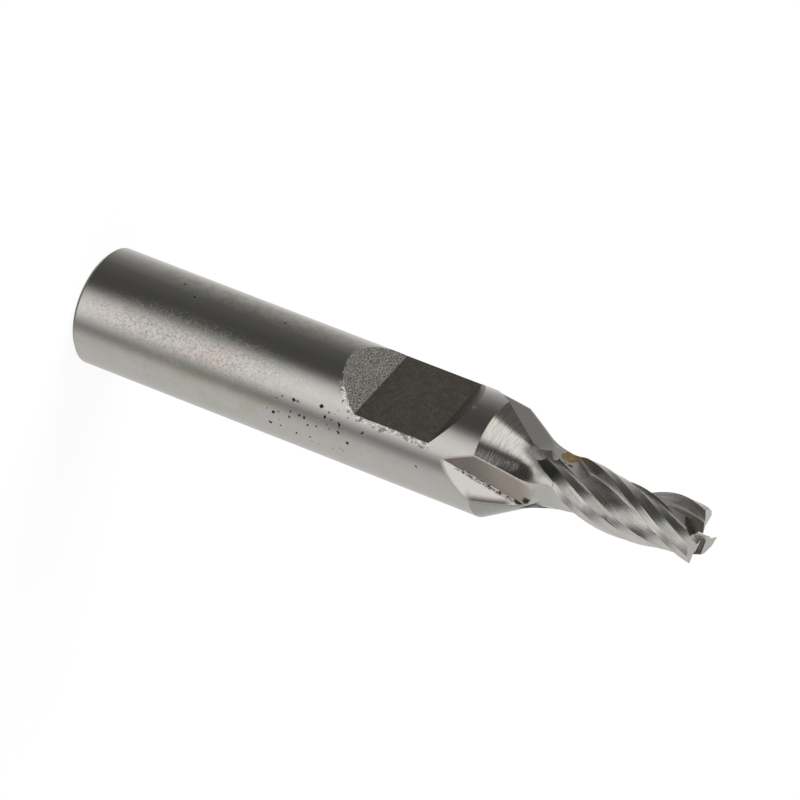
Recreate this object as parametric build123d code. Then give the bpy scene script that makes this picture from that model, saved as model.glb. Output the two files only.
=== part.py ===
from build123d import *
import os
from math import cos, pi, radians, sin, tan

os.makedirs("parts", exist_ok=True)

# A three-flute end mill with a stepped shank, ground from one bar.
# Millimetres and degrees. The axis is Z, with the shank end at z = 0 and the tip at the top.
# Angles about the axis are measured from -Y, where the clamping flat faces, positive about +Z.

# Overall
shank_diameter = 6.0
shank_length = 22.87
cutting_diameter = 3.0
cutting_length = 8.72

# Shank
shank_chamfer = 0.2

# Clamping flat, measured back from the shoulder
flat_setback = 2.47
flat_length = 4.2
flat_depth = 1.2
entry_ramp_angle = 37.0
exit_ramp_angle = 44.0

# Shoulder cone and neck
cone_half_angle = 30.0
neck_blend_radius = 3.0

# Flutes
tooth_count = 3
helix_angle = 30.0
first_tooth_angle = -8.5
core_diameter = 1.6
rake_angle = 8.0
floor_lean = 6.6
flute_corner_radius = 0.2

# Lands behind each cutting edge, as angles about the axis and depths below the cutting circle
margin_angle = 2.0
land_angle = 17.0
land_drop = 0.03
relief_angle = 39.5
relief_drop = 0.2
heel_angle = 64.0
heel_drop = 0.45

# Flute run-out, where the grinding wheel lifts off in a straight line
runout_height = 2.2
lift_angle = 15.1
travel_angle = 32.5
wheel_width = 2.73
wheel_flank_angle = 41.0

# Relief run-out from the cone on to the neck, and how far the cuts of two facets run past their edge
relief_setback = 0.7
relief_fade_length = 1.5
facet_overlap = 0.1

# Tip
end_relief_angle = 8.0
dish_angle = 2.5
gash_angle = 35.0
gash_flank_angle = 58.0
gash_depth = 0.48
gash_overlap = 0.1

shank_radius = shank_diameter / 2
cutting_radius = cutting_diameter / 2
core_radius = core_diameter / 2
pitch_angle = 360 / tooth_count
lead = pi * cutting_diameter / tan(radians(helix_angle))
twist_rate = 360 / lead
neck_start = shank_length + (shank_radius - cutting_radius) / tan(radians(cone_half_angle))
overall_length = neck_start + cutting_length
flute_start = neck_start + runout_height
relief_start = neck_start - relief_setback
relief_start_radius = cutting_radius + relief_setback * tan(radians(cone_half_angle))
land_start = neck_start + runout_height / 2
overcut = 1.0


def polar(radius, angle):
    """A point in a section at an angle measured from +X."""
    return Vector(radius * cos(radians(angle)), radius * sin(radians(angle)))


def face_from(points):
    """A flat face in the XY plane through the given corners."""
    return make_face(Polyline(*points, close=True))


def blank():
    """The turned bar: chamfered shank, cone, blended neck and plain cutting end."""
    profile = face_from([
        (0, 0),
        (shank_radius - shank_chamfer, 0),
        (shank_radius, shank_chamfer),
        (shank_radius, shank_length),
        (cutting_radius, neck_start),
        (cutting_radius, overall_length),
        (0, overall_length),
    ])
    corner = profile.vertices().sort_by_distance((cutting_radius, neck_start, 0))[0]
    profile = fillet(corner, neck_blend_radius)
    return revolve(Plane.XZ * profile, Axis.Z)


def clamping_flat():
    """The cut for the flat on the -Y side, with a sloped ramp at each end."""
    seat = shank_radius - flat_depth
    end = shank_length - flat_setback
    start = end - flat_length
    rise = flat_depth + overcut
    outline = face_from([
        (-seat, start),
        (-seat, end),
        (-seat - rise, end + rise / tan(radians(exit_ramp_angle))),
        (-seat - rise, start - rise / tan(radians(entry_ramp_angle))),
    ])
    return extrude(Plane.YZ * outline, shank_diameter, both=True)


def edge_angle(height):
    """The angle of the first cutting edge about the axis at a height."""
    return first_tooth_angle - twist_rate * (overall_length - height)


def tooth_place(height):
    """The place of the first tooth's section at a height, with its cutting edge on local +X."""
    return Pos(0, 0, height) * Rot(0, 0, edge_angle(height) - 90)


def twisted(section, bottom, top):
    """A section of the first tooth swept along the helix between two heights."""
    height = top - bottom
    placed = (tooth_place(bottom) * section).face()
    return Solid.extrude_linear_with_rotation(
        placed, (0, 0, bottom), (0, 0, height), height * twist_rate
    )


def rake_line(reach):
    """A point on the hooked rake face, at a distance inward from the cutting edge."""
    return Vector(cutting_radius - reach, -reach * tan(radians(rake_angle)))


def floor_line(distance):
    """A point on the flute floor, at a distance from the foot of the rake face."""
    foot = rake_line(cutting_radius - core_radius)
    return foot + polar(distance, floor_lean + 90)


def rounded_foot(section):
    """A flute section with the corner between rake face and floor rounded."""
    foot = section.vertices().sort_by_distance(rake_line(cutting_radius - core_radius))[0]
    return fillet(foot, flute_corner_radius)


def flute():
    """The helical cut of the first tooth's flute, from the run-out to past the tip."""
    width = cutting_radius + overcut
    section = face_from([
        floor_line(0),
        floor_line(width),
        floor_line(width) + polar(width, floor_lean),
        rake_line(-overcut),
    ])
    return twisted(rounded_foot(section), flute_start, overall_length + overcut)


def flute_runout():
    """The straight lift-off of the grinding wheel across neck, cone and shank."""
    clear = shank_diameter
    far_corner = floor_line(wheel_width)
    section = face_from([
        floor_line(0),
        far_corner,
        far_corner + polar(clear, floor_lean + wheel_flank_angle),
        rake_line(-clear),
    ])
    drop = (shank_radius - core_radius) / tan(radians(lift_angle)) + overcut
    travel = polar(drop * tan(radians(lift_angle)), floor_lean)
    travel += polar(drop * tan(radians(travel_angle)), floor_lean - 90)
    cut = Solid.extrude(rounded_foot(section).face(), travel - Vector(0, 0, drop))
    return tooth_place(flute_start) * cut


def land():
    """The first tooth's land, a little clear of the cutting circle behind its margin."""
    margin = polar(cutting_radius, -margin_angle)
    end = polar(cutting_radius - land_drop, -land_angle)
    outer = cutting_radius + overcut
    section = face_from([
        margin + (margin - end),
        end + (end - margin).normalized() * facet_overlap,
        polar(outer, -land_angle),
        polar(outer, 0),
    ])
    return twisted(section, land_start, overall_length + overcut)


def relief():
    """The relief behind the first tooth's land, fading in on the cone."""
    land_end = polar(cutting_radius - land_drop, -land_angle)
    relief_end = polar(cutting_radius - relief_drop, -relief_angle)
    outer = cutting_radius + overcut
    section = face_from([
        land_end + (land_end - relief_end).normalized() * facet_overlap,
        relief_end,
        polar(cutting_radius - heel_drop, -heel_angle),
        polar(outer, -heel_angle),
        polar(outer, -relief_angle),
        polar(outer, -land_angle),
    ])
    fade_slope = (relief_start_radius - core_radius) / relief_fade_length
    fade = Cone(
        relief_start_radius + overcut * fade_slope,
        core_radius,
        relief_fade_length + overcut,
        align=(Align.CENTER, Align.CENTER, Align.MIN),
    )
    cut = twisted(section, relief_start, overall_length + overcut)
    return cut - Pos(0, 0, relief_start - overcut) * fade


def above(origin, slope_x, slope_y):
    """A block whose underside is the plane through a point with the given slopes."""
    plane = Plane(origin=origin, z_dir=(-slope_x, -slope_y, 1))
    size = 2 * shank_diameter
    return plane * Box(size, size, size, align=(Align.CENTER, Align.CENTER, Align.MIN))


def end_relief():
    """The dished and relieved end face behind the first tooth's end edge."""
    reach = cutting_radius + overcut
    sector = face_from([
        (0, 0),
        polar(reach, 0),
        polar(reach * 2, -pitch_angle / 2),
        polar(reach, -pitch_angle),
    ])
    block = Pos(0, 0, -overcut) * extrude(sector, 2 * overcut)
    underside = above((cutting_radius, 0, 0), tan(radians(dish_angle)), tan(radians(end_relief_angle)))
    return tooth_place(overall_length) * (block & underside)


def gash():
    """The notch ahead of the first tooth's end edge, running out into the flute."""
    reach = cutting_radius + overcut
    block = Pos(-gash_overlap, 0, 0) * Box(
        reach, reach, 2 * reach, align=(Align.MIN, Align.MIN, Align.CENTER)
    )
    floor = above((0, 0, -gash_depth), -tan(radians(gash_angle)), 1 / tan(radians(gash_flank_angle)))
    return tooth_place(overall_length) * (block & floor)


def end_mill():
    """The whole tool: the blank with its flat, and each cut repeated round the axis."""
    body = blank() - clamping_flat()
    cuts = [flute_runout(), flute(), land(), relief(), end_relief(), gash()]
    for cut in cuts:
        for index in range(tooth_count):
            body -= Rot(0, 0, index * pitch_angle) * cut
    return body


tool = end_mill()
export_step(tool, "parts/end_mill.step")
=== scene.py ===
from math import cos, degrees, radians, sin, tan

import bpy
from mathutils import Matrix, Vector


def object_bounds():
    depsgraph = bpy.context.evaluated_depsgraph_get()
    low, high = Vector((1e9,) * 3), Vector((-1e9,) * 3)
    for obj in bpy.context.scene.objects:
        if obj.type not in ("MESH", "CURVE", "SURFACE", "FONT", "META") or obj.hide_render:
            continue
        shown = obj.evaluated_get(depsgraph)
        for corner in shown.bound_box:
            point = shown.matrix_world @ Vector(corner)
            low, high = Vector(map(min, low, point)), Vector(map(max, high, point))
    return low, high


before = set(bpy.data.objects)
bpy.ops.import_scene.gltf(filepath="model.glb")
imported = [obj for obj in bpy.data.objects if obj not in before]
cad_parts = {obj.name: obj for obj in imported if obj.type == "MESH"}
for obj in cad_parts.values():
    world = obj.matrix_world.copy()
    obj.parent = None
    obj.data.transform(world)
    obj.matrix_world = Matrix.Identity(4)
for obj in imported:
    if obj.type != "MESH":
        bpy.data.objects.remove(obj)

cad_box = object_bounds()

# The shared frame: metres, +Z from the shank end to the cutting tip, -Y out of the clamping flat.
# An azimuth is an angle about +Z from -Y, in degrees. Sizes and places on the tool are in millimetres.
MM = 0.001
DEGREES_PER_RADIAN = degrees(1.0)
HALF_TURN = 180.0


def colour(r, g, b):
    return (r, g, b, 1.0)


class Graph:
    """A node tree with short calls that return output sockets."""

    def __init__(self, tree):
        self.nodes = tree.nodes
        self.links = tree.links

    def put(self, socket, value):
        """Links an output to a socket, or sets the socket's own value."""
        if isinstance(value, bpy.types.NodeSocket):
            self.links.new(value, socket)
        else:
            socket.default_value = value

    def math(self, operation, a, b=0.0, c=0.0):
        node = self.nodes.new("ShaderNodeMath")
        node.operation = operation
        for socket, value in zip(node.inputs, (a, b, c)):
            self.put(socket, value)
        return node.outputs[0]

    def chain(self, operation, terms):
        total = terms[0]
        for term in terms[1:]:
            total = self.math(operation, total, term)
        return total

    def add(self, *terms):
        return self.chain("ADD", terms)

    def mul(self, *terms):
        return self.chain("MULTIPLY", terms)

    def top(self, *terms):
        """The largest of several numbers."""
        return self.chain("MAXIMUM", terms)

    def sub(self, a, b):
        return self.math("SUBTRACT", a, b)

    def invert(self, a):
        return self.sub(1.0, a)

    def apart(self, a, b):
        """How far two numbers are apart."""
        return self.math("ABSOLUTE", self.sub(a, b))

    def length(self, a, b):
        """The length of a vector with two components."""
        return self.math("SQRT", self.add(self.mul(a, a), self.mul(b, b)))

    def ramp(self, value, low, high):
        """0 at low, 1 at high, smooth between; low may be above high."""
        node = self.nodes.new("ShaderNodeMapRange")
        node.interpolation_type = "SMOOTHSTEP"
        self.put(node.inputs["Value"], value)
        self.put(node.inputs["From Min"], low)
        self.put(node.inputs["From Max"], high)
        return node.outputs[0]

    def above(self, value, level, soft):
        """0 up to a level, rising to 1 over soft."""
        return self.ramp(value, level, level + soft)

    def near(self, a, b, soft):
        """1 where a equals b, falling to 0 at a distance of soft."""
        return self.ramp(self.apart(a, b), soft, 0.0)

    def between(self, value, low, high, soft):
        """1 between low and high, falling to 0 over soft outside them."""
        return self.mul(self.ramp(value, low - soft, low), self.ramp(value, high + soft, high))

    def linear(self, value, low, high, to_low, to_high):
        node = self.nodes.new("ShaderNodeMapRange")
        self.put(node.inputs["Value"], value)
        names = ("From Min", "From Max", "To Min", "To Max")
        for name, number in zip(names, (low, high, to_low, to_high)):
            self.put(node.inputs[name], number)
        return node.outputs[0]

    def vector(self, x, y, z):
        node = self.nodes.new("ShaderNodeCombineXYZ")
        for socket, value in zip(node.inputs, (x, y, z)):
            self.put(socket, value)
        return node.outputs[0]

    def split(self, vector):
        node = self.nodes.new("ShaderNodeSeparateXYZ")
        self.put(node.inputs[0], vector)
        return node.outputs

    def azimuth_of(self, x, y):
        """The azimuth of a place or direction."""
        return self.mul(self.math("ARCTAN2", x, self.mul(y, -1.0)), DEGREES_PER_RADIAN)

    def noise(self, vector, scale, detail, rough, distortion=0.0):
        node = self.nodes.new("ShaderNodeTexNoise")
        self.put(node.inputs["Vector"], vector)
        node.inputs["Scale"].default_value = scale
        node.inputs["Detail"].default_value = detail
        node.inputs["Roughness"].default_value = rough
        node.inputs["Distortion"].default_value = distortion
        return node.outputs[0]

    def cells(self, vector, scale):
        """Distance to the nearest point of a scattered set."""
        node = self.nodes.new("ShaderNodeTexVoronoi")
        self.put(node.inputs["Vector"], vector)
        node.inputs["Scale"].default_value = scale
        return node.outputs["Distance"]

    def mix(self, factor, a, b):
        """A colour between a and b."""
        node = self.nodes.new("ShaderNodeMix")
        node.data_type = "RGBA"
        self.put(node.inputs["Factor"], factor)
        self.put(node.inputs["A"], a)
        self.put(node.inputs["B"], b)
        return node.outputs["Result"]

    def blend(self, factor, a, b):
        """A number between a and b."""
        node = self.nodes.new("ShaderNodeMix")
        self.put(node.inputs["Factor"], factor)
        self.put(node.inputs["A"], a)
        self.put(node.inputs["B"], b)
        return node.outputs["Result"]


# The camera's place and axes come from fitting the tool's edges, flat and outline in the photograph.
CAMERA_PLACE = Vector((220.908, -244.072, 171.024)) * MM
CAMERA_RIGHT = Vector((-0.533399, 0.049453, 0.844417))
CAMERA_UP = Vector((-0.586574, -0.740887, -0.327136))
CAMERA_LENS_MM = 339.36
CAMERA_SENSOR_MM = 36.0
CAMERA_CLIP = (0.01, 10.0)


def build_camera():
    data = bpy.data.cameras.new("camera")
    data.sensor_width = CAMERA_SENSOR_MM
    data.lens = CAMERA_LENS_MM
    data.clip_start, data.clip_end = CAMERA_CLIP
    camera = bpy.data.objects.new("camera", data)
    bpy.context.scene.collection.objects.link(camera)
    back = CAMERA_RIGHT.cross(CAMERA_UP)
    axes = Matrix((CAMERA_RIGHT, CAMERA_UP, back)).transposed().to_4x4()
    camera.matrix_world = Matrix.Translation(CAMERA_PLACE) @ axes
    bpy.context.scene.camera = camera
    bpy.context.scene.view_settings.view_transform = "Standard"


# What the metal reflects: brightness of the soft surroundings by azimuth.
SURROUNDINGS = (
    (-180, 0.64), (-150, 0.66), (-132, 0.78), (-110, 0.68), (-86, 0.45), (-62, 0.24), (-40, 0.12),
    (-10, 0.08), (12, 0.08), (22, 0.20), (34, 0.62), (44, 0.86), (58, 0.97), (72, 0.87),
    (84, 0.52), (97, 0.25), (106, 0.36), (118, 0.60), (136, 0.66), (152, 0.66), (180, 0.64),
)

# From this height in degrees upward, the surroundings turn by so many degrees for each degree.
LEAN_FROM = -14.0
LEAN = 1.3

# Patches in the surroundings: azimuth, height, inner and outer half angle in degrees, brightness.
PATCHES = (
    (40.0, 6.0, 14.0, 27.0, 0.60),
    (-7.0, 32.0, 17.0, 24.0, 1.0),
    (61.0, 33.0, 26.0, 33.0, 0.05),
    (-53.0, 25.0, 14.0, 22.0, 0.12),
    (-137.0, 27.0, 14.0, 24.0, 0.65),
    (49.0, 46.0, 6.0, 10.0, 0.75),
    (122.0, 57.0, 12.0, 22.0, 0.06),
)

# Far below, the surroundings go over into an even grey.
BELOW_HEIGHTS = (-42.0, -54.0)
BELOW = colour(0.34, 0.34, 0.335)
WHITE = colour(1.0, 1.0, 1.0)


def heading(azimuth, height):
    """A unit direction from an azimuth and a height in degrees."""
    level = cos(radians(height))
    return (level * sin(radians(azimuth)), -level * cos(radians(azimuth)), sin(radians(height)))


def surrounding_tone(level):
    """A brightness of the surroundings as a colour, slightly olive where it is dark."""
    return colour(level, level + 0.001, level * 0.99 - 0.002)


def patch_tone(level):
    """A brightness of a patch as a colour, slightly warm."""
    return colour(level, level, level * 0.97)


def build_world():
    world = bpy.data.worlds.new("studio")
    bpy.context.scene.world = world
    world.use_nodes = True
    g = Graph(world.node_tree)
    g.nodes.clear()
    direction = g.nodes.new("ShaderNodeTexCoord").outputs["Generated"]
    x, y, z = g.split(direction)
    height = g.mul(g.math("ARCSINE", z), DEGREES_PER_RADIAN)
    leaning = g.mul(g.top(g.sub(height, LEAN_FROM), 0.0), LEAN)
    turned = g.math("WRAP", g.add(g.azimuth_of(x, y), leaning), HALF_TURN, -HALF_TURN)
    ring = g.nodes.new("ShaderNodeValToRGB")
    g.put(ring.inputs[0], g.linear(turned, -HALF_TURN, HALF_TURN, 0.0, 1.0))
    stops = ring.color_ramp.elements
    for azimuth, level in SURROUNDINGS[1:-1]:
        stops.new((azimuth + HALF_TURN) / (2 * HALF_TURN)).color = surrounding_tone(level)
    stops[0].color = surrounding_tone(SURROUNDINGS[0][1])
    stops[-1].color = surrounding_tone(SURROUNDINGS[-1][1])
    surroundings = ring.outputs[0]
    for azimuth, patch_height, inner, outer, level in PATCHES:
        toward = g.nodes.new("ShaderNodeVectorMath")
        toward.operation = "DOT_PRODUCT"
        g.put(toward.inputs[0], direction)
        toward.inputs[1].default_value = heading(azimuth, patch_height)
        cover = g.ramp(toward.outputs["Value"], cos(radians(outer)), cos(radians(inner)))
        surroundings = g.mix(cover, surroundings, patch_tone(level))
    surroundings = g.mix(g.ramp(height, *BELOW_HEIGHTS), surroundings, BELOW)
    light = g.nodes.new("ShaderNodeLightPath")
    background = g.nodes.new("ShaderNodeBackground")
    g.put(background.inputs["Color"], g.mix(light.outputs["Is Camera Ray"], surroundings, WHITE))
    output = g.nodes.new("ShaderNodeOutputWorld")
    g.put(output.inputs[0], background.outputs[0])


FLOOR_HALF_WIDTH = 1.5
FLOOR_TONE = colour(0.9, 0.9, 0.9)
FLOOR_GLOW = 1.08
FLOOR_GLOW_SHARE = 0.85


def build_floor():
    """A white floor that keeps the tool's shadow and isn't mirrored in the tool."""
    mesh = bpy.data.meshes.new("floor")
    half = FLOOR_HALF_WIDTH
    corners = [(-half, -half, 0), (half, -half, 0), (half, half, 0), (-half, half, 0)]
    mesh.from_pydata(corners, [], [(0, 1, 2, 3)])
    floor = bpy.data.objects.new("floor", mesh)
    bpy.context.scene.collection.objects.link(floor)
    floor.visible_glossy = False
    material = bpy.data.materials.new("floor")
    material.use_nodes = True
    g = Graph(material.node_tree)
    g.nodes.clear()
    diffuse = g.nodes.new("ShaderNodeBsdfDiffuse")
    diffuse.inputs["Color"].default_value = FLOOR_TONE
    glow = g.nodes.new("ShaderNodeEmission")
    glow.inputs["Strength"].default_value = FLOOR_GLOW
    light = g.nodes.new("ShaderNodeLightPath")
    rays = ("Is Camera Ray", "Is Glossy Ray", "Is Transmission Ray")
    seen = g.top(*(light.outputs[ray] for ray in rays))
    both = g.nodes.new("ShaderNodeMixShader")
    g.put(both.inputs[0], g.mul(seen, FLOOR_GLOW_SHARE))
    g.put(both.inputs[1], diffuse.outputs[0])
    g.put(both.inputs[2], glow.outputs[0])
    output = g.nodes.new("ShaderNodeOutputMaterial")
    g.put(output.inputs[0], both.outputs[0])
    mesh.materials.append(material)


LAMP_PLACE = Vector((-0.25, -0.35, 0.55))
LAMP_SIZE = 0.35
LAMP_POWER = 1.6


def build_lamp():
    data = bpy.data.lights.new("key", "AREA")
    data.shape = "DISK"
    data.size = LAMP_SIZE
    data.energy = LAMP_POWER
    lamp = bpy.data.objects.new("key", data)
    bpy.context.scene.collection.objects.link(lamp)
    lamp.location = LAMP_PLACE
    lamp.rotation_mode = "QUATERNION"
    lamp.rotation_quaternion = (-LAMP_PLACE).to_track_quat("-Z", "Y")
    lamp.visible_glossy = False


# The tool's own shape, which the material's masks follow. Its thickness and height are the frame's.
SHANK_R = cad_box[1][0] / MM
CHAMFER = 0.2
CONE_START = 22.87
CONE_SLOPE = tan(radians(30.0))
NECK_R = 1.5
TIP = cad_box[1][2] / MM
FLAT_Y = 1.8
FLAT_START = 16.2
FLAT_END = 20.4
ENTRY_SLOPE = tan(radians(37.0))
EXIT_SLOPE = tan(radians(44.0))
TEETH_APART = 120.0
TWIST = 22.05
RUNOUT_TOP = 27.67

# Azimuths of a run-out's corner, and of the directions that its flank, its floor and a gash face.
RUNOUT_CORNER_AZIMUTH = 87.7
RUNOUT_FLANK_AZIMUTH = 45.3
RUNOUT_FLOOR_AZIMUTH = 94.3
GASH_AZIMUTH = 81.5

# A run-out's inner corner in the section at RUNOUT_TOP, and how far it moves for each mm down.
RUNOUT_CORNER = (0.486, 2.6135)
RUNOUT_CORNER_TRAVEL = (0.3413, -0.6018)

# How far masks reach past a face or an edge, in mm, and off a facing direction, in degrees.
CUT_REACH = 0.03
TURNED_REACH = (0.12, 0.04)
EDGE_SOFT = 0.02
FACING_SOFT = 14.0

# Heights where masks start and where they are full. Those with three values are full between the
# first two and fade over the third.
CUT_HEIGHTS = (22.2, 22.0)
CONE_HEIGHTS = (26.4, 25.2)
CARVED_HEIGHTS = (18.0, 18.5)
BEFORE_FLUTES = (RUNOUT_TOP + 0.4, RUNOUT_TOP - 0.4)
FLUTED_HEIGHTS = (26.2, 27.4)
CHAMFER_HEIGHTS = (CHAMFER + 0.04, CHAMFER - 0.01)
BURR_HEIGHTS = (14.2, 14.5)
BURR_AROUND_HEIGHTS = (16.4, 15.9)
BURR_BESIDE_HEIGHTS = (20.6, 20.3)
RUNOUT_LIGHT_HEIGHTS = (22.4, 24.4)
RUNOUT_FLOOR_HEIGHTS = (25.9, 24.8)
WEDGE_HEIGHTS = (23.0, 24.2, 0.5)
RIM_CHIP_HEIGHTS = (24.2, 23.4)
SEAM_HEIGHTS = (21.6, 23.0)
GASH_HEIGHTS = (32.7, 32.9)
NECK_SHADE_HEIGHTS = (24.9, 26.3, 0.6)
STRAW_HEIGHTS = (25.4, 25.8)

# The same for azimuths. Upper and lower are as the photograph shows the tool.
BURR_BESIDE_AZIMUTHS = (25.0, 40.0)
CONE_LOWER_AZIMUTHS = (88.0, 104.0)
HOOPED_AZIMUTHS = (110.0, 60.0)
RUNOUT_UPPER_AZIMUTHS = (30.0, 0.0)
FLUTE_LOWER_AZIMUTHS = (48.0, 80.0)

# Soft oval areas: height, half height, azimuth, half azimuth.
ROUGH_AREA = (6.0, 5.5, 46.0, 36.0)
PINK_AREA = (6.0, 5.5, 56.0, 36.0)
GREEN_AREA = (8.0, 8.0, 84.0, 34.0)
SMOKE_AREA = (8.5, 9.0, -18.0, 26.0)
ETCHED_AREA = (6.5, 8.5, 44.0, 42.0)
SILKY_AREA = (7.0, 9.5, 46.0, 40.0)
PIT_AREA = (14.0, 4.2, 78.0, 28.0)
STRAW_AREA = (26.32, 0.55, -52.0, 42.0)

# Colours of the metal, with the darker of a pair first.
GREENISH_GREY, PINKISH_GREY = colour(0.600, 0.592, 0.560), colour(0.640, 0.600, 0.585)
PINK = colour(0.67, 0.565, 0.515)
GREEN = colour(0.56, 0.57, 0.47)
SMOKE = colour(0.44, 0.42, 0.34)
ETCHED = colour(0.34, 0.32, 0.30)
SILKY = colour(0.84, 0.82, 0.80)
CHAMFER_GREY = colour(0.33, 0.32, 0.30)
FLECK = colour(0.33, 0.31, 0.29)
SEAT_DARK, SEAT_LIGHT = colour(0.30, 0.27, 0.235), colour(0.44, 0.40, 0.35)
SEAT_BLOTCH = colour(0.24, 0.215, 0.18)
SEAT_SPECK = colour(0.80, 0.77, 0.72)
ENTRY_DARK, ENTRY_LIGHT = colour(0.24, 0.23, 0.21), colour(0.70, 0.68, 0.63)
ENTRY_SPARKLE = colour(0.95, 0.94, 0.91)
# The second ramp's browns are painted shade.
LEAVING_SHADE_DARK, LEAVING_SHADE_LIGHT = colour(0.21, 0.19, 0.165), colour(0.31, 0.28, 0.245)
# The burr is real; its lumps carry painted highlight and painted shade.
BURR_SHADED, BURR_HIGHLIGHT = colour(0.42, 0.40, 0.37), colour(1.0, 0.99, 0.97)
BURR_GAP = colour(0.22, 0.21, 0.20)
PIT = colour(0.035, 0.03, 0.028)
# The cone's lower side is painted darker as shade.
CONE_LOWER_SHADE = colour(0.43, 0.43, 0.40)
HOOP_DARK, HOOP_LIGHT = colour(0.28, 0.27, 0.25), colour(0.92, 0.91, 0.89)
RUNOUT_DARK, RUNOUT_LIGHT = colour(0.235, 0.205, 0.182), colour(0.420, 0.365, 0.330)
RUNOUT_LINES = colour(0.345, 0.300, 0.270)
# The run-out floor's grey on the upper side is painted light.
RUNOUT_UPPER_PAINTED_LIGHT = colour(0.395, 0.375, 0.36)
RUNOUT_FLANK = colour(0.96, 0.925, 0.885)
SHADE = colour(0.10, 0.09, 0.08)
SEAM_DIRT, SEAM_BURR = colour(0.10, 0.075, 0.06), colour(0.97, 0.96, 0.94)
STREAK_DARK, STREAK_LIGHT = colour(0.24, 0.23, 0.22), colour(0.90, 0.88, 0.87)
# The flutes' lower side is painted lighter as light.
FLUTE_LOWER_PAINTED_LIGHT = colour(0.84, 0.81, 0.79)
FLUTE_CLOUD = colour(0.60, 0.565, 0.55)
GASH = colour(0.20, 0.184, 0.16)
CHIP_DARK = colour(0.03, 0.03, 0.03)
# A band of painted shade across the neck.
NECK_SHADE = colour(0.15, 0.145, 0.14)
STRAW_DARK, STRAW_LIGHT = colour(0.52, 0.34, 0.15), colour(0.95, 0.66, 0.34)
BLACK_DIRT = colour(0.03, 0.025, 0.02)
BROWN_DIRT = colour(0.12, 0.08, 0.05)
CORNER_DIRT = colour(0.05, 0.035, 0.03)
NICK = colour(1.0, 1.0, 0.98)

# Pits in the shank: height, azimuth, radius.
PITS = (
    (12.89, 61.2, 0.10), (14.41, 57.5, 0.10), (11.83, 81.3, 0.09), (11.66, 94.8, 0.09),
    (12.78, 79.7, 0.07), (13.32, 73.8, 0.08), (13.60, 74.1, 0.09), (14.71, 65.9, 0.10),
    (15.55, 67.9, 0.12), (15.54, 75.8, 0.10), (13.12, 96.3, 0.06), (12.24, 94.0, 0.06),
    (16.84, 67.4, 0.10), (16.10, 83.8, 0.08), (19.98, 79.9, 0.06), (5.63, 2.7, 0.12),
    (4.65, -9.0, 0.09), (10.48, -8.3, 0.07), (12.1, 79.0, 0.06), (14.9, 72.0, 0.06),
)

# Single spots: height, azimuth, radius, raggedness, cover, colour.
SPOTS = (
    (26.72, -12.0, 0.15, 1.0, 1.0, BLACK_DIRT),
    (26.42, -10.0, 0.11, 1.0, 0.8, BROWN_DIRT),
    (25.15, 113.0, 0.24, 1.5, 1.0, CORNER_DIRT),
    (21.70, 4.8, 0.13, 0.6, 1.0, NICK),
)

# A chip in a cutting edge: height, azimuth and radius. It is dark near the cutting circle only.
CHIP = (32.3, 70.0, 0.07)
CHIP_RADII = (1.2, 1.3)

# The painted shade on the neck crosses it from this height and azimuth, turning so many degrees for
# each mm up.
NECK_SHADE_START = (24.6, 6.0)
NECK_SHADE_TURN = 14.4


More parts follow.
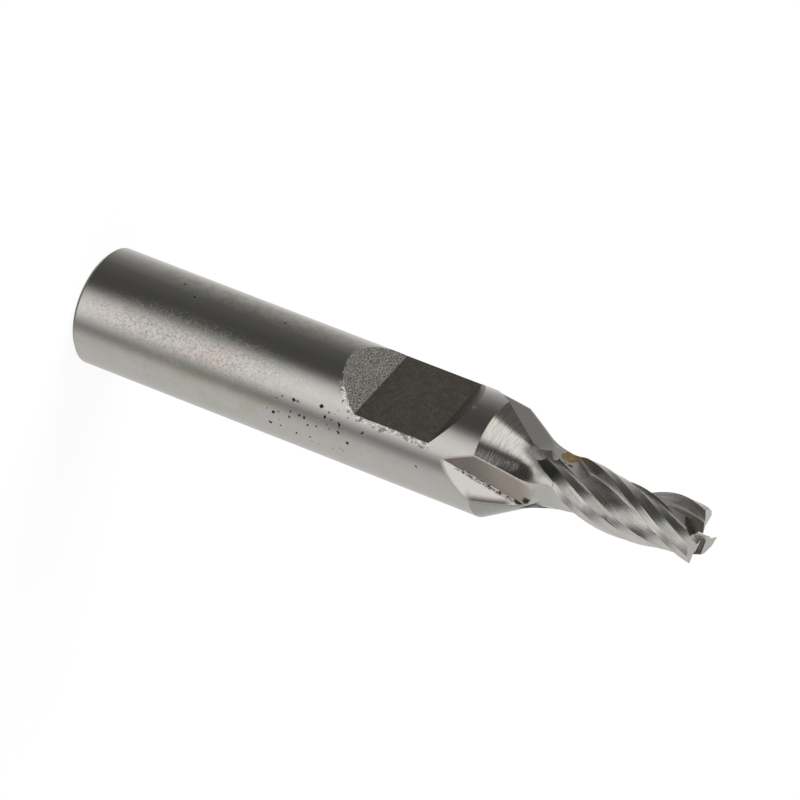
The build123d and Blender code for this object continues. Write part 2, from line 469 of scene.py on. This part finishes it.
class Skin(Graph):
    """The steel's node tree: places on the tool, its surfaces, patterns, and the tone so far.

    Painting adds the masks etched, burr, pits, seam and straw, which roughness and relief use.
    """

    def __init__(self, tree):
        super().__init__(tree)
        scale = self.nodes.new("ShaderNodeVectorMath")
        scale.operation = "SCALE"
        self.put(scale.inputs[0], self.nodes.new("ShaderNodeTexCoord").outputs["Object"])
        scale.inputs["Scale"].default_value = 1.0 / MM
        self.spot = scale.outputs[0]
        x, y, self.z = self.split(self.spot)
        self.out = self.mul(y, -1.0)
        self.radius = self.length(x, y)
        self.azimuth = self.azimuth_of(x, y)
        normal = self.nodes.new("ShaderNodeNewGeometry").outputs["True Normal"]
        normal_x, normal_y, self.normal_z = self.split(normal)
        self.facing = self.azimuth_of(normal_x, normal_y)
        self.find_surfaces()
        self.make_patterns()

    def fold(self, angle, centre):
        """An angle about the axis from a centre, the same for all three teeth."""
        return self.math("WRAP", self.sub(angle, centre), TEETH_APART / 2, -TEETH_APART / 2)

    def faces(self, azimuth, soft):
        """1 where the surface faces an azimuth, on any of the three teeth."""
        return self.near(self.fold(self.facing, azimuth), 0.0, soft)

    def disc(self, height, azimuth, size, warp):
        """A round spot, with its edge moved by warp."""
        across = self.mul(self.sub(self.azimuth, azimuth), self.radius, radians(1.0))
        far = self.length(across, self.sub(self.z, height))
        return self.ramp(self.add(far, warp), size, size * 0.55)

    def patch(self, height, half_height, azimuth, half_azimuth):
        """A soft oval area."""
        along = self.mul(self.sub(self.z, height), 1.0 / half_height)
        across = self.mul(self.sub(self.azimuth, azimuth), 1.0 / half_azimuth)
        return self.ramp(self.length(along, across), 1.0, 0.35)

    def find_surfaces(self):
        """A mask for each kind of surface: cut for the flat, turned, or carved by the wheel."""
        z = self.z
        seat = self.top(
            FLAT_Y,
            self.add(FLAT_Y, self.mul(self.sub(FLAT_START, z), ENTRY_SLOPE)),
            self.add(FLAT_Y, self.mul(self.sub(z, FLAT_END), EXIT_SLOPE)),
        )
        self.inside = self.sub(seat, self.out)
        on_cut = self.mul(self.near(self.inside, 0.0, CUT_REACH), self.ramp(z, *CUT_HEIGHTS))
        off_cut = self.invert(on_cut)
        self.entry = self.mul(on_cut, self.ramp(z, FLAT_START + EDGE_SOFT, FLAT_START - EDGE_SOFT))
        self.leaving = self.mul(on_cut, self.ramp(z, FLAT_END - EDGE_SOFT, FLAT_END + EDGE_SOFT))
        self.flat = self.mul(on_cut, self.invert(self.entry), self.invert(self.leaving))

        fall = self.mul(self.sub(z, CONE_START), CONE_SLOPE)
        turned_radius = self.math("MINIMUM", SHANK_R, self.top(NECK_R, self.sub(SHANK_R, fall)))
        self.rim = self.sub(turned_radius, self.radius)
        turned = self.mul(self.ramp(self.apart(self.radius, turned_radius), *TURNED_REACH), off_cut)
        self.shank = self.mul(turned, self.ramp(z, CONE_START + EDGE_SOFT, CONE_START - EDGE_SOFT))
        self.cone = self.mul(turned, self.above(z, CONE_START, 0.03), self.ramp(z, *CONE_HEIGHTS))

        self.carved = self.mul(self.invert(turned), off_cut, self.ramp(z, *CARVED_HEIGHTS))
        runout = self.mul(self.carved, self.ramp(z, *BEFORE_FLUTES))
        self.flank = self.mul(runout, self.faces(RUNOUT_FLANK_AZIMUTH, FACING_SOFT))
        self.floor = self.mul(runout, self.faces(RUNOUT_FLOOR_AZIMUTH, FACING_SOFT))
        self.fluted = self.mul(self.ramp(z, *FLUTED_HEIGHTS), self.ramp(z, TIP + 0.1, TIP))

    def make_patterns(self):
        """Noises from fine to broad, and grinding lines round, along and with the twist."""
        self.speck = self.noise(self.spot, 16.0, 2.0, 0.5)
        self.coarse = self.noise(self.spot, 14.0, 2.0, 0.7)
        self.grain = self.noise(self.spot, 9.0, 4.0, 0.65)
        self.fleck = self.noise(self.spot, 7.0, 4.0, 0.7, 0.5)
        self.lump = self.noise(self.spot, 4.2, 2.0, 0.5)
        self.blotch = self.noise(self.spot, 2.2, 4.0, 0.6)
        self.cloud = self.noise(self.spot, 0.9, 3.0, 0.6)
        self.broad = self.noise(self.spot, 0.75, 3.0, 0.55)
        self.ragged = self.mul(self.sub(self.grain, 0.5), 0.35)
        stretched_round = self.vector(self.mul(self.azimuth, 0.035), self.mul(self.z, 9.0), 0.0)
        self.hoops = self.noise(stretched_round, 1.4, 3.0, 0.65)
        stretched_along = self.vector(self.mul(self.azimuth, 0.045), self.mul(self.z, 0.35), 0.0)
        self.lines = self.noise(stretched_along, 14.0, 3.0, 0.6)
        untwisted = self.add(self.azimuth, self.mul(self.sub(TIP, self.z), TWIST))
        stretched_with_twist = self.vector(
            self.mul(untwisted, 0.03), self.mul(self.z, 0.07), self.mul(self.radius, 1.6)
        )
        self.helix = self.noise(stretched_with_twist, 9.0, 4.0, 0.65)

    def paint(self, shade, *cover):
        """Lays a colour over the tone, as far as the product of the covers."""
        self.tone = self.mix(self.mul(*cover), self.tone, shade)


def paint_shank(g):
    """Neutral grey that goes pinkish, greenish or smoky in patches, finely etched in others."""
    g.tone = g.mix(g.ramp(g.cloud, 0.35, 0.65), GREENISH_GREY, PINKISH_GREY)
    g.paint(PINK, g.shank, g.patch(*PINK_AREA), g.above(g.broad, 0.48, 0.14), 0.65)
    g.paint(GREEN, g.shank, g.patch(*GREEN_AREA), g.ramp(g.broad, 0.52, 0.40), 0.85)
    g.paint(SMOKE, g.shank, g.patch(*SMOKE_AREA), g.ramp(g.blotch, 0.56, 0.42), 0.55)
    curls = g.mul(g.near(g.noise(g.spot, 2.6, 4.0, 0.6, 0.4), 0.5, 0.022), 0.8)
    g.etched = g.mul(g.shank, g.patch(*ETCHED_AREA), g.top(curls, g.above(g.fleck, 0.58, 0.06)))
    g.paint(ETCHED, g.etched, 0.42)
    g.paint(SILKY, g.shank, g.patch(*SILKY_AREA), g.ramp(g.fleck, 0.46, 0.38), 0.45)
    g.paint(CHAMFER_GREY, g.ramp(g.z, *CHAMFER_HEIGHTS))
    g.paint(FLECK, g.shank, g.ramp(g.speck, 0.36, 0.28), 0.35)


def paint_flat(g):
    """The flat is dull and brown, the first ramp coarse and sparkling, the second painted dark as
    shade.
    """
    grainy = g.above(g.grain, 0.42, 0.25)
    seat = g.mix(grainy, SEAT_DARK, SEAT_LIGHT)
    seat = g.mix(g.mul(g.above(g.blotch, 0.44, 0.16), 0.45), seat, SEAT_BLOTCH)
    seat = g.mix(g.above(g.speck, 0.70, 0.04), seat, SEAT_SPECK)
    g.paint(seat, g.flat)
    sparkle = g.above(g.noise(g.spot, 12.0, 1.0, 0.5), 0.64, 0.05)
    entry = g.mix(g.above(g.coarse, 0.36, 0.28), ENTRY_DARK, ENTRY_LIGHT)
    entry = g.mix(g.mul(sparkle, 0.8), entry, ENTRY_SPARKLE)
    g.paint(entry, g.entry)
    # Painted shade: the second ramp is coloured dark brown.
    g.paint(g.mix(grainy, LEAVING_SHADE_DARK, LEAVING_SHADE_LIGHT), g.leaving)


def paint_burr(g):
    """Ragged burr round the coarse ramp and along the flat's lower edge, its lumps painted with
    highlight and shade.
    """
    reach = g.mul(g.sub(g.lump, 0.5), 0.55)
    beside = g.mul(
        g.shank, g.ramp(g.add(g.inside, reach), 0.25, 0.17),
        g.ramp(g.z, *BURR_BESIDE_HEIGHTS), g.ramp(g.azimuth, *BURR_BESIDE_AZIMUTHS),
    )
    around = g.mul(
        g.shank, g.ramp(g.add(g.inside, g.mul(reach, 0.4)), 0.07, 0.03),
        g.ramp(g.z, *BURR_AROUND_HEIGHTS), 0.8,
    )
    g.burr = g.mul(g.top(beside, around), g.ramp(g.z, *BURR_HEIGHTS))
    # Painted highlight on the burr's raised lumps, painted shade on its lower parts and darker gaps.
    tone = g.mix(g.above(g.lump, 0.38, 0.10), BURR_SHADED, BURR_HIGHLIGHT)
    g.paint(g.mix(g.ramp(g.coarse, 0.33, 0.25), tone, BURR_GAP), g.burr)


def paint_pits(g):
    """The larger pits at their places, and small ones scattered among them."""
    placed = [g.disc(*pit, g.ragged) for pit in PITS]
    scatter = g.mul(
        g.ramp(g.cells(g.spot, 2.6), 0.20, 0.12), g.patch(*PIT_AREA), g.above(g.broad, 0.42, 0.08)
    )
    g.pits = g.mul(g.shank, g.top(*placed, scatter))
    g.paint(PIT, g.pits)


def paint_cone(g):
    """Bright with brushed hoops, plainer on the lower side and painted darker there as shade."""
    # Painted shade: the cone's lower side is darker.
    g.paint(CONE_LOWER_SHADE, g.cone, g.ramp(g.azimuth, *CONE_LOWER_AZIMUTHS))
    hooped = g.mul(g.cone, g.ramp(g.azimuth, *HOOPED_AZIMUTHS))
    g.paint(HOOP_LIGHT, hooped, g.above(g.hoops, 0.5, 0.12), 0.35)
    g.paint(HOOP_DARK, hooped, g.ramp(g.hoops, 0.46, 0.36), 0.40)


def paint_runouts(g):
    """A dull brown floor, lighter grey on the upper side as painted light, and a bright flank, with a
    dark wedge and chips near the rim.
    """
    tone = g.mix(g.ramp(g.z, *RUNOUT_LIGHT_HEIGHTS), RUNOUT_DARK, RUNOUT_LIGHT)
    tone = g.mix(g.mul(g.above(g.lines, 0.40, 0.3), 0.5), tone, RUNOUT_LINES)
    # Painted light: the run-out floor on the upper side is a lighter grey.
    tone = g.mix(g.ramp(g.azimuth, *RUNOUT_UPPER_AZIMUTHS), tone, RUNOUT_UPPER_PAINTED_LIGHT)
    g.paint(tone, g.floor, g.ramp(g.z, *RUNOUT_FLOOR_HEIGHTS))
    g.paint(RUNOUT_FLANK, g.flank)
    g.paint(SHADE, g.flank, g.ramp(g.rim, 0.42, 0.12), g.between(g.z, *WEDGE_HEIGHTS), 0.9)
    chips = g.mul(g.between(g.rim, 0.05, 0.12, 0.03), g.carved, g.above(g.grain, 0.60, 0.06))
    g.paint(SHADE, chips, g.ramp(g.z, *RIM_CHIP_HEIGHTS), 0.85)


def paint_seam(g):
    """Dirt and burr along the line between a run-out's flank and its floor."""
    drop = g.sub(RUNOUT_TOP, g.z)
    local = g.mul(g.fold(g.azimuth, RUNOUT_CORNER_AZIMUTH), radians(1.0))
    away = []
    for function, start, travel in zip(("COSINE", "SINE"), RUNOUT_CORNER, RUNOUT_CORNER_TRAVEL):
        place = g.mul(g.radius, g.math(function, local))
        away.append(g.sub(place, g.add(start, g.mul(drop, travel))))
    at_corner = g.ramp(g.add(g.length(*away), g.ragged), 0.14, 0.05)
    g.seam = g.mul(g.carved, at_corner, g.ramp(g.z, *SEAM_HEIGHTS))
    tone = g.mix(g.above(g.lump, 0.44, 0.08), SEAM_DIRT, SEAM_BURR)
    g.paint(tone, g.seam, g.above(g.blotch, 0.40, 0.1))


def paint_flutes(g):
    """Fine streaks along the helix, painted light on the lower side, the dark walls of the gashes, and
    a chip in an edge.
    """
    g.paint(STREAK_LIGHT, g.fluted, g.above(g.helix, 0.52, 0.10), 0.50)
    g.paint(STREAK_DARK, g.fluted, g.ramp(g.helix, 0.46, 0.36), 0.32)
    # Painted light: the flutes' lower side is lighter.
    g.paint(FLUTE_LOWER_PAINTED_LIGHT, g.fluted, g.ramp(g.azimuth, *FLUTE_LOWER_AZIMUTHS), 0.45)
    g.paint(FLUTE_CLOUD, g.fluted, g.above(g.cloud, 0.44, 0.2), 0.35)
    upright = g.near(g.normal_z, 0.0, 0.25)
    wall = g.mul(g.faces(GASH_AZIMUTH, 12.0), upright, g.ramp(g.radius, 1.47, 1.42))
    g.paint(GASH, wall, g.ramp(g.z, *GASH_HEIGHTS))
    g.paint(CHIP_DARK, g.disc(*CHIP, 0.0), g.ramp(g.radius, *CHIP_RADII))


def paint_neck(g):
    """A band of painted shade across the neck and a straw-coloured stain."""
    height, azimuth = NECK_SHADE_START
    course = g.add(azimuth, g.mul(g.sub(g.z, height), NECK_SHADE_TURN))
    on_course = g.ramp(g.apart(g.azimuth, course), 20.0, 8.0)
    # Painted shade: a dark band across the neck.
    g.paint(NECK_SHADE, on_course, g.between(g.z, *NECK_SHADE_HEIGHTS), 0.85)
    uneven = g.mul(g.sub(g.blotch, 0.5), 1.6)
    stain = g.ramp(g.add(g.patch(*STRAW_AREA), uneven), 0.30, 0.45)
    g.straw = g.mul(stain, g.ramp(g.z, *STRAW_HEIGHTS))
    g.paint(g.mix(g.above(g.grain, 0.42, 0.2), STRAW_DARK, STRAW_LIGHT), g.straw, 0.92)


def paint_spots(g):
    for height, azimuth, size, raggedness, cover, shade in SPOTS:
        g.paint(shade, g.disc(height, azimuth, size, g.mul(g.ragged, raggedness)), cover)


def roughness(g):
    """Silky in general, rougher where the shank is worn or etched, and a value for each surface."""
    rough = g.linear(g.grain, 0.0, 1.0, 0.13, 0.23)
    worn = g.mul(g.shank, g.patch(*ROUGH_AREA))
    rough = g.add(rough, g.mul(worn, 0.07), g.mul(g.etched, 0.10))
    surfaces = (
        (g.flat, 0.46),
        (g.entry, 0.38),
        (g.leaving, 0.34),
        (g.top(g.burr, g.mul(g.seam, 0.8)), 0.32),
        (g.cone, 0.17),
        (g.flank, 0.15),
        (g.floor, 0.30),
        (g.top(g.pits, g.straw), 0.6),
    )
    for cover, value in surfaces:
        rough = g.blend(cover, rough, value)
    return rough


def relief(g):
    """Heights for the bump: how far a pattern swings on each surface, and how deep parts sink."""
    height = g.mul(g.sub(g.grain, 0.5), 0.0010)
    swings = (
        (g.shank, g.lines, 0.0006),
        (g.flat, g.grain, 0.006),
        (g.entry, g.coarse, 0.05),
        (g.top(g.burr, g.seam), g.lump, 0.14),
        (g.cone, g.hoops, 0.005),
        (g.top(g.flank, g.floor), g.lines, 0.0022),
        (g.fluted, g.helix, 0.010),
    )
    for cover, pattern, swing in swings:
        height = g.add(height, g.mul(cover, g.sub(pattern, 0.5), swing))
    for cover, depth in ((g.etched, 0.0020), (g.pits, 0.03)):
        height = g.sub(height, g.mul(cover, depth))
    return height


def build_steel():
    material = bpy.data.materials.new("tool_steel_ground")
    material.use_nodes = True
    g = Skin(material.node_tree)
    shader = g.nodes["Principled BSDF"]
    shader.inputs["Metallic"].default_value = 1.0
    paint_shank(g)
    paint_flat(g)
    paint_burr(g)
    paint_pits(g)
    paint_cone(g)
    paint_runouts(g)
    paint_seam(g)
    paint_flutes(g)
    paint_neck(g)
    paint_spots(g)
    g.put(shader.inputs["Base Color"], g.tone)
    g.put(shader.inputs["Roughness"], roughness(g))
    bump = g.nodes.new("ShaderNodeBump")
    bump.inputs["Distance"].default_value = MM
    bump.inputs["Strength"].default_value = 1.0
    g.put(bump.inputs["Height"], relief(g))
    g.put(shader.inputs["Normal"], bump.outputs[0])
    return material


build_camera()
build_world()
build_floor()
build_lamp()

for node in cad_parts.values():
    node.material_slots[0].material = build_steel()
